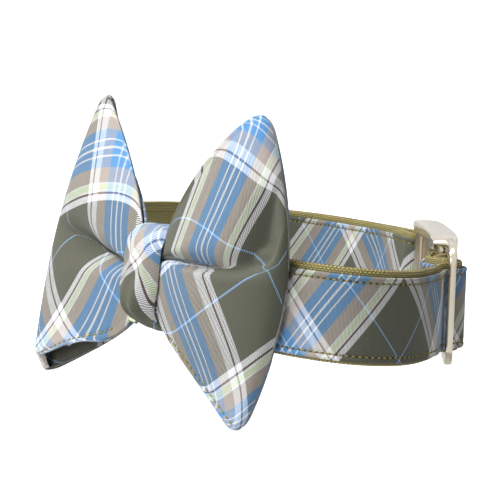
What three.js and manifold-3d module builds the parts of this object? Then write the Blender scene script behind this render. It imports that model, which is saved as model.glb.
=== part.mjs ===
// A dog's training collar with a bow: a closed loop of one inch webbing with a
// plaid ribbon sewn along its outer face, adjusted by a metal tri-glide slide,
// closed by a one-piece buckle, and dressed with a plaid bow held by a cloth knot.
// Millimetres, +Z up. The ring is laid out with the knot at the origin, the bow
// facing -Y, the lower edge of the strap at z 0, and is then set down on its
// two lower bow corners and the far lower edge, as it rests on a table.
import * as THREE from 'three';
import { mergeVertices } from 'three/addons/utils/BufferGeometryUtils.js';
import Module from 'manifold-3d';

const wasm = await Module();
wasm.setup();

// ------------------------------------------------------------- driving sizes
const GAP = 0.3;                 // clearance between neighbouring pieces
const STRAP_WIDTH = 25.4;        // one inch webbing
const WEBBING_THICK = 1.8;
const RIBBON_THICK = 1.0;
const RIBBON_LOW = 0.9, RIBBON_HIGH = 23.6;      // edges of the ribbon on the strap
const LEAN = THREE.MathUtils.degToRad(3.5);      // top edge leans in at the hardware

// plan of the collar, seen from above, counter-clockwise from the knot
const RING = [ // x, y
  [0, 0], [30, 1.5], [54, 9], [65, 20], [66, 34], [53.5, 54], [30.5, 74.8], [0.5, 96],
  [-32, 112], [-59, 110], [-84, 101], [-99, 80], [-102, 57], [-91, 33], [-68, 12], [-37, 2.3],
];

const SLIDE = { centre: 128, length: 28, height: 34, low: -3.2, corner: 5, under: 0.4, thick: 2.2,
  endBar: 3.6, centreBar: 3.0, slotLow: -0.4, slotHigh: 25.8,
  turn: 5.5, rise: 4.0, dipNear: -0.95, dipFar: -3.15 };
const BUCKLE = { near: 151, far: 214.5, barRadius: 1.3, barOffset: -2.55, slot: 6.6,
  low: -4.3, high: 29.9, inner: -5.3, outer: 3.0, crown: 1.6, corner: 5, wall: 1.4 };
const FOLD = { layer: -2.1, end: 286, rampFrom: 236, rampTo: 219, slideEnd: 124.5 };

const KNOT = { halfWidth: 7.4, low: -0.6, high: 26.1, front: -11.7, back: 1.6,
  topRadius: 6.3, bottomRadius: 8, backRadius: 0.9, wall: 1.4, crown: 0.7 };
const CLOTH = 1.2;               // cloth of the bow
const THROAT = { inner: 3.6, outer: 7.8, y: -6.3, z: 13.6, half: 11.5, gather: 3.2, backGather: 2.0 };
const LOBES = {
  bow_lobe_right: { side: 1, top: [44, -1.3, 64.4], mid: [54, 3.2, 21], bottom: [44, -0.2, -23.6],
    puff: 10, back: 4, frontTop: 0.56, frontBottom: 0.92, backTop: 0.7, backBottom: 0.6,
    shiftTop: 0, shiftBottom: 1.6, creaseKnot: 0.27, creaseOut: 0.0, flare: 0.78, lift: 0, drop: 1 },
  bow_lobe_left: { side: -1, top: [-43, -4.2, 64.0], mid: [-52.6, -10.5, 20], bottom: [-47.8, -17, -24.2],
    puff: 6.3, back: 5, frontTop: 0.83, frontBottom: 0.4, backTop: 0.8, backBottom: 0.1,
    shiftTop: 1.2, shiftBottom: 0, creaseKnot: 0.36, creaseOut: 0.3, flare: 0.78, lift: 1.5, drop: 2.5 },
};
const TIP_ROUND = 0.1;           // how far the rounded corners draw in

// ------------------------------------------------------------------- helpers
const smooth = (a, b, x) => THREE.MathUtils.smoothstep(x, a, b);
const mix = THREE.MathUtils.lerp;

/** One closed solid from equal rings of points; open ends are closed by flat fans. */
function sweep(rings, closed = false) {
  const m = rings[0].length, n = rings.length, index = [];
  const at = (i, j) => (i % n) * m + (j % m);
  for (let i = 0; i < (closed ? n : n - 1); i++)
    for (let j = 0; j < m; j++)
      index.push(at(i, j), at(i + 1, j), at(i + 1, j + 1), at(i, j), at(i + 1, j + 1), at(i, j + 1));
  if (!closed)
    for (let j = 1; j < m - 1; j++)
      index.push(at(0, 0), at(0, j), at(0, j + 1), at(n - 1, 0), at(n - 1, j + 1), at(n - 1, j));
  return solid(rings.flat(), index);
}

/** Indexed geometry whose faces point out. */
function solid(points, index) {
  let volume = 0;
  for (let k = 0; k < index.length; k += 3)
    volume += points[index[k]].dot(new THREE.Vector3().crossVectors(points[index[k + 1]], points[index[k + 2]]));
  if (volume < 0)
    for (let k = 0; k < index.length; k += 3) [index[k + 1], index[k + 2]] = [index[k + 2], index[k + 1]];
  const g = new THREE.BufferGeometry();
  g.setAttribute('position', new THREE.Float32BufferAttribute(points.flatMap((p) => p.toArray()), 3));
  g.setIndex(index);
  return g;
}

function toManifold(geometry) {
  const g = geometry.clone();
  g.deleteAttribute('normal');
  g.deleteAttribute('uv');
  const m = mergeVertices(g, 1e-4);
  return new wasm.Manifold(new wasm.Mesh({ numProp: 3,
    vertProperties: new Float32Array(m.attributes.position.array),
    triVerts: new Uint32Array(m.index.array) }));
}

function fromManifold(manifold) {
  const mesh = manifold.getMesh();
  const g = new THREE.BufferGeometry();
  g.setAttribute('position', new THREE.Float32BufferAttribute(Array.from(mesh.vertProperties), 3));
  g.setIndex(Array.from(mesh.triVerts));
  return g;
}

// --------------------------------------------------- the ring and its frame
// (s, n, z): s along the ring, n out from its middle line, z up the strap
const ringCurve = new THREE.CatmullRomCurve3(RING.map(([x, y]) => new THREE.Vector3(x, y, 0)), true, 'centripetal');
const ringTable = [{ s: 0, p: ringCurve.getPoint(0) }];
for (let k = 1; k <= 40 * RING.length; k++) {
  const p = ringCurve.getPoint(k / (40 * RING.length));
  const last = ringTable[ringTable.length - 1];
  ringTable.push({ s: last.s + p.distanceTo(last.p), p });
}
const RING_LENGTH = ringTable[ringTable.length - 1].s;
const wrap = (s) => ((s % RING_LENGTH) + RING_LENGTH) % RING_LENGTH;

function ringPoint(s) {
  const q = wrap(s);
  let lo = 0, hi = ringTable.length - 1;
  while (hi - lo > 1) { const mid = (lo + hi) >> 1; if (ringTable[mid].s <= q) lo = mid; else hi = mid; }
  const a = ringTable[lo], b = ringTable[hi];
  return a.p.clone().lerp(b.p, (q - a.s) / (b.s - a.s));
}

function ringFrame(s) {
  const tangent = ringPoint(s + 1.2).sub(ringPoint(s - 1.2)).normalize();
  const out = new THREE.Vector3(tangent.y, -tangent.x, 0);
  const q = wrap(s);
  const a = LEAN * smooth(80, 105, q) * (1 - smooth(195, 225, q));
  const normal = out.clone().multiplyScalar(Math.cos(a)).add(new THREE.Vector3(0, 0, Math.sin(a)));
  const up = out.clone().multiplyScalar(-Math.sin(a)).add(new THREE.Vector3(0, 0, Math.cos(a)));
  return { origin: ringPoint(s), tangent, normal, up };
}

function place(s, n, z) {
  const f = ringFrame(s);
  return f.origin.addScaledVector(f.normal, n).addScaledVector(f.up, z);
}

// ------------------------------------------------------- route of the strap
// from the folded-back end inside the ring, round the buckle's far bar, right
// round the neck, through the slide, round the near bar and back to the slide
function strapRoute() {
  const route = [], low = 2 * BUCKLE.barOffset, turn = -BUCKLE.barOffset;
  for (let s = FOLD.end; s > BUCKLE.far; s -= 0.75)
    route.push([s, mix(FOLD.layer, low, smooth(0, 1, (FOLD.rampFrom - s) / (FOLD.rampFrom - FOLD.rampTo)))]);
  for (let k = 0; k <= 24; k++) {
    const a = -Math.PI / 2 - Math.PI * k / 24;
    route.push([BUCKLE.far + turn * Math.cos(a), BUCKLE.barOffset + turn * Math.sin(a)]);
  }
  const last = RING_LENGTH + BUCKLE.near;
  for (let s = BUCKLE.far + 0.75; s < last; s += 0.75) route.push([s, slideWave(s - RING_LENGTH)]);
  for (let k = 0; k <= 24; k++) {
    const a = Math.PI / 2 - Math.PI * k / 24;
    route.push([last + turn * Math.cos(a), BUCKLE.barOffset + turn * Math.sin(a)]);
  }
  const tail = new THREE.CatmullRomCurve3([[last - 0.8, low], [last - 4, low - 0.1], [last - 10.5, low - 0.35],
    [last - 13.5, -5.3], [last - 17, -3.3], [last - 20, -1.5], [last - 24, -0.95], [RING_LENGTH + FOLD.slideEnd, -1.0]]
    .map(([s, n]) => new THREE.Vector3(s, n, 0)), false, 'centripetal');
  for (let k = 0; k <= 40; k++) { const p = tail.getPoint(k / 40); route.push([p.x, p.y]); }
  return route;
}

/** Inward under the slide's end bars, outward over its centre bar. */
function slideWave(s) {
  const d = Math.abs(s - SLIDE.centre), dip = s < SLIDE.centre ? SLIDE.dipNear : SLIDE.dipFar;
  if (d > 22.5) return 0;
  if (d > 14.3) return dip * (1 - smooth(14.3, 22.5, d));
  return mix(SLIDE.rise, dip, smooth(1.4, 10.3, d));
}

/** Stations where the strap has turned or run far enough since the last one. */
function stations(route) {
  const kept = [0];
  const point = (k) => place(route[k][0], route[k][1], 0);
  const heading = (k) => point(Math.min(k + 1, route.length - 1)).sub(point(Math.max(k - 1, 0))).normalize();
  let h = heading(0), p = point(0);
  for (let k = 1; k < route.length - 1; k++) {
    const hk = heading(k), pk = point(k);
    if (hk.angleTo(h) > 0.18 || pk.distanceTo(p) > 6.5) { kept.push(k); h = hk; p = pk; }
  }
  kept.push(route.length - 1);
  return kept;
}

/** A flat strip of the strap between two offsets from its middle and two heights. */
function strip(route, kept, offLow, offHigh, zLow, zHigh, trim = 0) {
  const ks = kept.slice(trim, kept.length - trim);
  return sweep(ks.map((k) => {
    const a = route[Math.max(k - 1, 0)], b = route[Math.min(k + 1, route.length - 1)];
    const ds = b[0] - a[0], dn = b[1] - a[1], l = Math.hypot(ds, dn);
    const at = (off, z) => place(route[k][0] - off * dn / l, route[k][1] + off * ds / l, z);
    return [at(offLow, zLow), at(offHigh, zLow), at(offHigh, zHigh), at(offLow, zHigh)];
  }));
}

const route = strapRoute(), kept = stations(route);
const half = WEBBING_THICK / 2;
const webbing = strip(route, kept, -half, half, 0, STRAP_WIDTH);
const ribbon = strip(route, kept, half + GAP, half + GAP + RIBBON_THICK, RIBBON_LOW, RIBBON_HIGH, 1);

// ----------------------------------------------------- slide and buckle
function roundedRect(w, h, r, holes = []) {
  const shape = new THREE.Shape();
  outline(shape, -w / 2, w / 2, -h / 2, h / 2, r);
  for (const [x0, x1, y0, y1, hr] of holes) {
    const hole = new THREE.Path();
    outline(hole, x0, x1, y0, y1, hr);
    shape.holes.push(hole);
  }
  return shape;
}

function outline(path, x0, x1, y0, y1, r) {
  path.moveTo(x0 + r, y0);
  path.lineTo(x1 - r, y0);
  path.absarc(x1 - r, y0 + r, r, -Math.PI / 2, 0);
  path.lineTo(x1, y1 - r);
  path.absarc(x1 - r, y1 - r, r, 0, Math.PI / 2);
  path.lineTo(x0 + r, y1);
  path.absarc(x0 + r, y1 - r, r, Math.PI / 2, Math.PI);
  path.lineTo(x0, y0 + r);
  path.absarc(x0 + r, y0 + r, r, Math.PI, 1.5 * Math.PI);
}

function slideGeometry() {
  const { length, height, low: foot, corner, thick, endBar, centreBar, slotLow, slotHigh } = SLIDE;
  const mid = foot + height / 2, x = length / 2 - endBar, edge = 0.45;
  const low = slotLow - mid - edge, high = slotHigh - mid + edge;
  const shape = roundedRect(length - 2 * edge, height - 2 * edge, corner, [
    [-x - edge, -centreBar / 2 + edge, low, high, 1.2], [centreBar / 2 - edge, x + edge, low, high, 1.2]]);
  const g = new THREE.ExtrudeGeometry(shape, { depth: thick - 2 * edge, curveSegments: 4,
    bevelEnabled: true, bevelSize: edge, bevelThickness: edge, bevelSegments: 1 });
  g.translate(0, 0, edge);
  g.deleteAttribute('normal');
  g.deleteAttribute('uv');
  return mergeVertices(g, 1e-4);
}

function buckleGeometry() {
  const { near, far, barRadius, barOffset, slot, low, high, inner, outer, crown, corner, wall } = BUCKLE;
  const s0 = near - barRadius, s1 = far + barRadius, mid = (low + high) / 2, hz = (high - low) / 2;
  // a curved block, rounded at its ends, crowned across, chamfered along its edges
  const ends = [0, 0.35, 1.3, 3, 5], rows = [];
  for (const e of ends) rows.push(s0 + e);
  for (let k = 1; k < 9; k++) rows.push(mix(s0 + 5, s1 - 5, k / 9));
  for (const e of ends.slice().reverse()) rows.push(s1 - e);
  const body = sweep(rows.map((s) => {
    const e = Math.min(s - s0, s1 - s, corner);
    const h = hz - corner + Math.sqrt(Math.max(corner ** 2 - (corner - e) ** 2, 0.01));
    const swell = crown * smooth(6, 16, Math.min(s - s0, s1 - s));
    const o = outer, i = inner;
    return [[i + 1, -h], [o - 1.2, -h], [o, -h + 1.4], [o + swell * 0.7, -h * 0.5], [o + swell, 0], [o + swell * 0.7, h * 0.5],
      [o, h - 1.4], [o - 1.2, h], [i + 1, h], [i, h - 1.2], [i, -h + 1.2]].map(([n, z]) => place(s, n, mid + z));
  }));
  let m = toManifold(body);
  const box = (sa, sb, za, zb, na, nb) => {
    const f = ringFrame((sa + sb) / 2);
    const g = new THREE.BoxGeometry(sb - sa, zb - za, nb - na);
    g.translate(0, (za + zb) / 2, (na + nb) / 2);
    g.applyMatrix4(new THREE.Matrix4().makeBasis(f.tangent, f.up, f.normal).setPosition(f.origin));
    return toManifold(g);
  };
  m = m.subtract(box(near - barRadius - 4, near + slot, -0.35, STRAP_WIDTH + 0.35, inner - 4, outer + 4));
  m = m.subtract(box(far - slot, far + barRadius + 4, -0.35, STRAP_WIDTH + 0.35, inner - 4, outer + 4));
  // cast hollow, open towards the neck
  const ca = near + slot + wall, cb = far - slot - wall, hollow = [];
  for (let k = 0; k <= 10; k++) {
    const s = mix(ca, cb, k / 10), swell = crown * smooth(6, 16, Math.min(s - s0, s1 - s)), o = outer - wall;
    hollow.push([[inner - 4, wall - hz], [o, wall - hz], [o + swell * 0.7, -hz * 0.5], [o + swell, 0], [o + swell * 0.7, hz * 0.5],
      [o, hz - wall], [inner - 4, hz - wall]].map(([n, z]) => place(s, n, mid + z)));
  }
  m = m.subtract(toManifold(sweep(hollow)));
  for (const s of [near, far]) {
    const f = ringFrame(s);
    const g = new THREE.CylinderGeometry(barRadius, barRadius, STRAP_WIDTH + 3, 12);
    g.translate(0, STRAP_WIDTH / 2, barOffset);
    g.applyMatrix4(new THREE.Matrix4().makeBasis(f.tangent, f.up, f.normal).setPosition(f.origin));
    m = m.add(toManifold(g));
  }
  return fromManifold(m);
}

// ------------------------------------------------------------------ the bow
/** y of the ribbon's outer face behind the bow, for a given x. */
const behind = [];
for (let s = -75; s <= 75; s += 2.5) behind.push(place(s, half + GAP + RIBBON_THICK, 0));
function ribbonY(x) {
  for (let k = 1; k < behind.length; k++)
    if (x <= behind[k].x) {
      const a = behind[k - 1], b = behind[k];
      return mix(a.y, b.y, THREE.MathUtils.clamp((x - a.x) / (b.x - a.x), 0, 1));
    }
  return behind[behind.length - 1].y;
}

/** Outer surface of a lobe. q: -1 knot, front panel, 0 outer fold, back panel, 1 knot.
 *  v: -1 bottom edge, 1 top edge. */
function lobePoint(L, q, v) {
  const r = Math.max(1 - q * q, 0), w = (v + 1) / 2;
  const quad = (k) => L.bottom[k] * (1 - w) * (1 - 2 * w) + 4 * L.mid[k] * w * (1 - w) + L.top[k] * w * (2 * w - 1);
  const cut = THREE.MathUtils.clamp((Math.abs(v) - 0.86) / 0.14, 0, 1);
  const re = r * (1 - TIP_ROUND * (1 - Math.sqrt(1 - cut * cut)));
  const xk = L.side * THROAT.outer, zk = THROAT.z + THROAT.half * v;
  const up = Math.max(v, 0) ** 2, down = Math.max(-v, 0) ** 2;
  const x = xk + (quad(0) - xk) * re;
  let z = zk + (quad(2) - zk) * re ** L.flare;
  const base = THROAT.y + (quad(1) - THROAT.y) * re + (L.shiftTop * up + L.shiftBottom * down) * 4 * re * (1 - re);
  // half thickness: a round outer fold, puffed between the fold and the knot
  const d = (1 - r) * 42, R = 1.55;
  const edge = d < R ? Math.sqrt(d * (2 * R - d)) : R;
  const loop = 2 * r ** 0.8 * Math.sqrt(1 - r);
  const crease = mix(L.creaseKnot, L.creaseOut, r), dv = v - crease;
  const ridge = 1 - Math.exp(-((dv / (dv > 0 ? 0.42 : 0.15)) ** 2));
  const gather = THROAT.gather * ridge * (1 - v * v) * (1 - r) ** 2;
  const pf = L.puff * loop * Math.max(1 - L.frontTop * up - L.frontBottom * down, 0.05);
  const pb = L.back * loop * (1 - L.backTop * up - L.backBottom * down);
  const clear = ribbonY(x) - 0.5 + 0.8 * Math.max(0, -1 - z, z - STRAP_WIDTH - 1);
  let yb = base + Math.hypot(edge, pb) + THROAT.backGather * (1 - r) ** 2 * Math.sqrt(1 - 0.5 * v * v);
  const k = 1.5, h = THREE.MathUtils.clamp(0.5 + 0.5 * (clear - yb) / k, 0, 1);
  yb = mix(clear, yb, h) - k * h * (1 - h);
  const touch = yb - 1.95 * edge;
  let yf = base - Math.hypot(edge, pf) - gather;
  yf = mix(yf, touch, 0.95 * (1 - ridge) * (1 - smooth(0.3, 0.9, r)));
  yf = Math.min(yf, touch);
  const bow = Math.sin(Math.PI * r ** 1.5);
  if (q < 0) z += L.lift * down * bow; else z -= L.drop * down * bow;
  const y = q < 0 ? yf : q > 0 ? yb : (yf + yb) / 2;
  return new THREE.Vector3(x, y, z);
}

function lobeGeometry(L) {
  const Q = 13, V = 20, qs = [], vs = [];
  for (let k = -Q; k <= Q; k++) qs.push(k / Q);
  for (let k = 0; k <= V; k++) { const t = 2 * k / V - 1; vs.push(Math.sign(t) * (1 - (1 - Math.abs(t)) ** 1.15)); }
  const e = 0.004, outerRows = [], innerRows = [];
  const shift = new THREE.Vector3(L.side * (THROAT.inner - THROAT.outer), 0, 0);
  for (const q of qs) {
    const outer = [], inner = [];
    for (const v of vs) {
      const p = lobePoint(L, q, v);
      const qa = Math.max(q - e * 4, -1), qb = Math.min(q + e * 4, 1), va = Math.max(v - e, -1), vb = Math.min(v + e, 1);
      const normal = new THREE.Vector3().crossVectors(
        lobePoint(L, qb, v).sub(lobePoint(L, qa, v)), lobePoint(L, q, vb).sub(lobePoint(L, q, va))).normalize();
      if (L.side < 0) normal.negate();
      if (Math.abs(q) === 1) normal.set(0, Math.sign(q), 0);
      outer.push(p);
      inner.push(p.clone().addScaledVector(normal, -CLOTH));
    }
    outerRows.push(outer);
    innerRows.push(inner);
  }
  for (const rows of [outerRows, innerRows]) {
    rows.unshift(rows[0].map((p) => p.clone().add(shift)));
    rows.push(rows[rows.length - 1].map((p) => p.clone().add(shift)));
  }
  // each ring of the sweep runs up the outer surface and down the inner one
  return sweepPanel(outerRows, innerRows);
}

/** A sheet with thickness: outer and inner grids joined round all four edges. */
function sweepPanel(outer, inner) {
  const n = outer.length, m = outer[0].length, N = n * m, index = [];
  const o = (i, j) => i * m + j, u = (i, j) => N + i * m + j;
  const quad = (a, b, c, d) => index.push(a, b, c, a, c, d);
  for (let i = 0; i < n - 1; i++) {
    for (let j = 0; j < m - 1; j++) {
      quad(o(i, j), o(i + 1, j), o(i + 1, j + 1), o(i, j + 1));
      quad(u(i, j), u(i, j + 1), u(i + 1, j + 1), u(i + 1, j));
    }
    quad(o(i, 0), u(i, 0), u(i + 1, 0), o(i + 1, 0));
    quad(o(i, m - 1), o(i + 1, m - 1), u(i + 1, m - 1), u(i, m - 1));
  }
  for (let j = 0; j < m - 1; j++) {
    quad(o(0, j), o(0, j + 1), u(0, j + 1), u(0, j));
    quad(o(n - 1, j), u(n - 1, j), u(n - 1, j + 1), o(n - 1, j + 1));
  }
  return solid([...outer.flat(), ...inner.flat()], index);
}

function knotGeometry() {
  const { halfWidth, low, high, front, back, topRadius, bottomRadius, backRadius, wall, crown } = KNOT;
  const loop = []; // y, z, normal y, normal z, frontness
  const corner = (cy, cz, r, a0, a1, steps) => {
    for (let k = 0; k <= steps; k++) {
      const a = mix(a0, a1, k / steps), c = Math.cos(a), s = Math.sin(a);
      loop.push([cy + r * c, cz + r * s, c, s]);
    }
  };
  const P = Math.PI;
  corner(back - backRadius, low + backRadius, backRadius, -P / 2, 0, 3);
  loop.push([back, 8, 1, 0], [back, 17, 1, 0]);
  corner(back - backRadius, high - backRadius, backRadius, 0, P / 2, 3);
  corner(front + topRadius, high - topRadius, topRadius, P / 2, P, 6);
  for (const z of [16.5, 12.2]) loop.push([front - 0.001, z, -1, 0]);
  corner(front + bottomRadius, low + bottomRadius, bottomRadius, P, 1.5 * P, 6);
  return sweep(loop.map(([y, z, ny, nz]) => {
    const frontness = Math.max(-ny, 0);
    const w = halfWidth - 0.5 + 0.5 * frontness;
    const at = (x, t) => new THREE.Vector3(x, y + ny * t, z + nz * t);
    const c = crown * frontness;
    return [at(-w, 0), at(w, 0), at(w, 0.5 * wall), at(0.86 * w, wall), at(0.45 * w, wall + 0.8 * c),
      at(0, wall + c), at(-0.45 * w, wall + 0.8 * c), at(-0.86 * w, wall), at(-w, 0.5 * wall)];
  }), true);
}

// ------------------------------------------------------------------ assembly
const looks = (color, roughness, metalness = 0) => new THREE.MeshStandardMaterial({ color, roughness, metalness });
const olive = looks(0x6a653f, 0.9);
const plaid = looks(0x8f9aa6, 0.85);
const metal = looks(0xcfc6b6, 0.32, 0.95);

const collar = new THREE.Group();
function piece(name, geometry, material) {
  const mesh = new THREE.Mesh(geometry, material);
  mesh.name = name;
  collar.add(mesh);
  return mesh;
}

piece('strap_webbing', webbing, olive);
piece('strap_face', ribbon, plaid);
const slide = piece('slide', slideGeometry(), metal);
{
  const f = ringFrame(SLIDE.centre);
  slide.quaternion.setFromRotationMatrix(new THREE.Matrix4().makeBasis(f.tangent, f.up, f.normal));
  slide.rotateY(THREE.MathUtils.degToRad(SLIDE.turn));
  slide.position.copy(place(SLIDE.centre, SLIDE.under, SLIDE.low + SLIDE.height / 2));
}
piece('buckle', buckleGeometry(), metal);
piece('bow_lobe_right', lobeGeometry(LOBES.bow_lobe_right), plaid);
piece('bow_lobe_left', lobeGeometry(LOBES.bow_lobe_left), plaid);
piece('bow_knot', knotGeometry(), plaid);

// set down: the plane through both lower bow corners that first meets the far side
collar.updateMatrixWorld(true);
const pointsOf = (mesh) => {
  const a = mesh.geometry.attributes.position, out = [];
  for (let k = 0; k < a.count; k++) out.push(new THREE.Vector3().fromBufferAttribute(a, k).applyMatrix4(mesh.matrixWorld));
  return out;
};
const lowest = (name) => pointsOf(collar.getObjectByName(name)).reduce((a, b) => (b.z < a.z ? b : a));
const A = lowest('bow_lobe_left'), B = lowest('bow_lobe_right');
const along = B.clone().sub(A).setZ(0).normalize();
const across = new THREE.Vector3(-along.y, along.x, 0);
let steep = Infinity;
for (const mesh of collar.children)
  for (const p of pointsOf(mesh)) {
    const run = p.clone().sub(A), depth = run.dot(across);
    if (depth > 30) steep = Math.min(steep, (run.z - (B.z - A.z) * run.dot(along) / A.distanceTo(B)) / depth);
  }
const floorUp = new THREE.Vector3().crossVectors(B.clone().sub(A), across.clone().setZ(steep)).normalize();
const rest = new THREE.Group();
rest.add(collar);
rest.quaternion.setFromUnitVectors(floorUp, new THREE.Vector3(0, 0, 1));
rest.updateMatrixWorld(true);
const box = new THREE.Box3();
for (const mesh of collar.children) for (const p of pointsOf(mesh)) box.expandByPoint(p);
rest.position.set(-(box.min.x + box.max.x) / 2, -(box.min.y + box.max.y) / 2, -box.min.z);

export default rest;
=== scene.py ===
# Dog collar with a plaid bow, dressed for its looks. Metres, +Z up, standing where the
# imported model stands: the bow faces -Y, and the slide and the buckle are at the back.
import bpy
import numpy as np
from mathutils import Matrix, Vector


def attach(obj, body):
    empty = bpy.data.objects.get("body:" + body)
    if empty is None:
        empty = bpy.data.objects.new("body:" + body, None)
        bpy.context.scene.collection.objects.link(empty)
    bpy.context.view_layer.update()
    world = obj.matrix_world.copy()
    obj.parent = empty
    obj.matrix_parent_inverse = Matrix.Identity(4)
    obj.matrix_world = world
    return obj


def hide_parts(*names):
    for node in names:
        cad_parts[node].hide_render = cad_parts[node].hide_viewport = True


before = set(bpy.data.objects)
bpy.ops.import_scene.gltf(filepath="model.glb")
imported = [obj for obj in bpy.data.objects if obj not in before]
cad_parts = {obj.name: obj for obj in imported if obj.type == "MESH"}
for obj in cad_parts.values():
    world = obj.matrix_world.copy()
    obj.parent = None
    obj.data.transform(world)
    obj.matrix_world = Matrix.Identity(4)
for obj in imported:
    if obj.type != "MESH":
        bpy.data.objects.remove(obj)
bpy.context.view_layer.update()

# ------------------------------------------------------------------ webbing
# One inch olive webbing, woven flat with a corded selvedge along both edges. It runs
# right round the neck, back through the slide, and turns round a bar at each end of
# the buckle; the end by the slide is left loose, the other is sewn down inside.

# the ring's plan in millimetres, from the knot round by the slide and the buckle
RING = [(0, 0), (30, 1.5), (54, 9), (65, 20), (66, 34), (53.5, 54), (30.5, 74.8), (0.5, 96),
        (-32, 112), (-59, 110), (-84, 101), (-99, 80), (-102, 57), (-91, 33), (-68, 12), (-37, 2.3)]
WIDTH, HALF = 25.4, 0.9  # the webbing's width, and half its thickness
# distances round the ring from the knot, and how far out from the ring the buckle's bars stand
SLIDE_AT, BUCKLE_NEAR, BUCKLE_FAR, BAR_OFFSET = 128.0, 151.0, 214.5, -2.55
# how far the strap's top leans in, and between which distances that comes and goes
LEAN, LEAN_COMES, LEAN_GOES = np.radians(3.5), (80, 105), (195, 225)
NUDGE = 1.2  # how far to either side the ring's direction is taken


def smooth(a, b, x):
    """0 below a, 1 above b, and a soft S between them."""
    t = np.clip((np.asarray(x, float) - a) / (b - a), 0, 1)
    return t * t * (3 - 2 * t)


def mix(a, b, t):
    """Runs from a to b as t goes from 0 to 1."""
    return a + (b - a) * t


def spline(knots, t, closed):
    """Centripetal Catmull-Rom curve through the knots, halfway from the third to the fourth at t = 2.5."""
    p = np.asarray(knots, float)
    if not closed:
        p = np.vstack([2 * p[0] - p[1], p, 2 * p[-1] - p[-2]])
    k = np.floor(t).astype(int)
    if not closed:
        k = np.minimum(k, len(p) - 4)
    w = (t - k)[:, None]
    i = k + (0 if closed else 1)
    p0, p1, p2, p3 = (p[(i + d) % len(p)] for d in (-1, 0, 1, 2))
    d0, d1, d2 = (np.sqrt(np.linalg.norm(b - a, axis=1))[:, None] for a, b in ((p0, p1), (p1, p2), (p2, p3)))
    m1 = ((p1 - p0) / d0 - (p2 - p0) / (d0 + d1) + (p2 - p1) / d1) * d1
    m2 = ((p2 - p1) / d1 - (p3 - p1) / (d1 + d2) + (p3 - p2) / d2) * d1
    return p1 + m1 * w + (3 * (p2 - p1) - 2 * m1 - m2) * w ** 2 + (2 * (p1 - p2) + m1 + m2) * w ** 3


ring_xy = spline(RING, np.arange(40 * len(RING) + 1) / 40 % len(RING), True)
ring_s = np.concatenate([[0], np.cumsum(np.linalg.norm(np.diff(ring_xy, axis=0), axis=1))])
ROUND = ring_s[-1]


def together(*parts):
    """The parts as one array, stretched to one size and side by side along its last axis."""
    return np.stack(np.broadcast_arrays(*parts), -1)


def ring_point(s):
    """Plan position on the ring, a distance s from the knot."""
    return together(*(np.interp(np.mod(s, ROUND), ring_s, k) for k in ring_xy.T))


def place(s, n, z):
    """A point s along the ring, n out from it and z up the strap, whose top leans in by the buckle."""
    s, n, z = np.broadcast_arrays(*(np.asarray(k, float) for k in (s, n, z)))
    tangent = ring_point(s + NUDGE) - ring_point(s - NUDGE)
    tangent /= np.linalg.norm(tangent, axis=-1)[..., None]
    q = np.mod(s, ROUND)
    lean = LEAN * smooth(*LEAN_COMES, q) * (1 - smooth(*LEAN_GOES, q))
    out = n * np.cos(lean) - z * np.sin(lean)
    up = n * np.sin(lean) + z * np.cos(lean)
    base = ring_point(s)
    return together(base[..., 0] + tangent[..., 1] * out, base[..., 1] - tangent[..., 0] * out, up)


TIPPED_BACK, TIPPED_ASIDE = np.radians(8.0), np.radians(1.1)
MOVED = (18.0, -48.2, 20.7)  # the knot's own origin, once the part's is under its middle


def set_down(p):
    """From the ring's millimetres to the part's metres, tipped back onto the bow and the far edge."""
    nx, ny = np.sin(TIPPED_ASIDE), -np.sin(TIPPED_BACK)
    nz = np.sqrt(1 - nx * nx - ny * ny)
    turn = np.array([[1 - nx * nx / (1 + nz), -nx * ny / (1 + nz), -nx],
                     [-nx * ny / (1 + nz), 1 - ny * ny / (1 + nz), -ny], [nx, ny, nz]])
    return (p @ turn.T + np.array(MOVED)) / 1000


def shell(p, uv=None, ring=False):
    """Closed skin over a grid of points: rows run along the piece, columns run round its section.
    Open ends are zipped shut between the two halves of the section. p may hold many like shells at once."""
    p = p.reshape((-1,) + p.shape[-3:])
    count, n, m = p.shape[:3]
    i, j = np.arange(n if ring else n - 1)[:, None], np.arange(m)[None, :]
    at = lambda a, b: (a % n) * m + b % m
    f = np.stack([at(i, j), at(i + 1, j), at(i + 1, j + 1), at(i, j + 1)], -1).reshape(-1, 4)
    if not ring:
        h = np.arange(m // 2 - 1)
        first = np.stack([h, h + 1, m - 2 - h, m - 1 - h], -1)
        f = np.vstack([f, first, first[:, ::-1] + (n - 1) * m])
    a, b, c, d = (p[0].reshape(-1, 3)[f[:, k]] for k in range(4))
    if np.sum(a * np.cross(b, c)) + np.sum(a * np.cross(c, d)) < 0:
        f = f[:, ::-1]
    faces = (f[None] + (np.arange(count) * n * m)[:, None, None]).reshape(-1, 4)
    uv = np.zeros(p.shape[:-1] + (2,)) if uv is None else uv
    return p.reshape(-1, 3), faces, uv.reshape(-1, 2)


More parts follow.
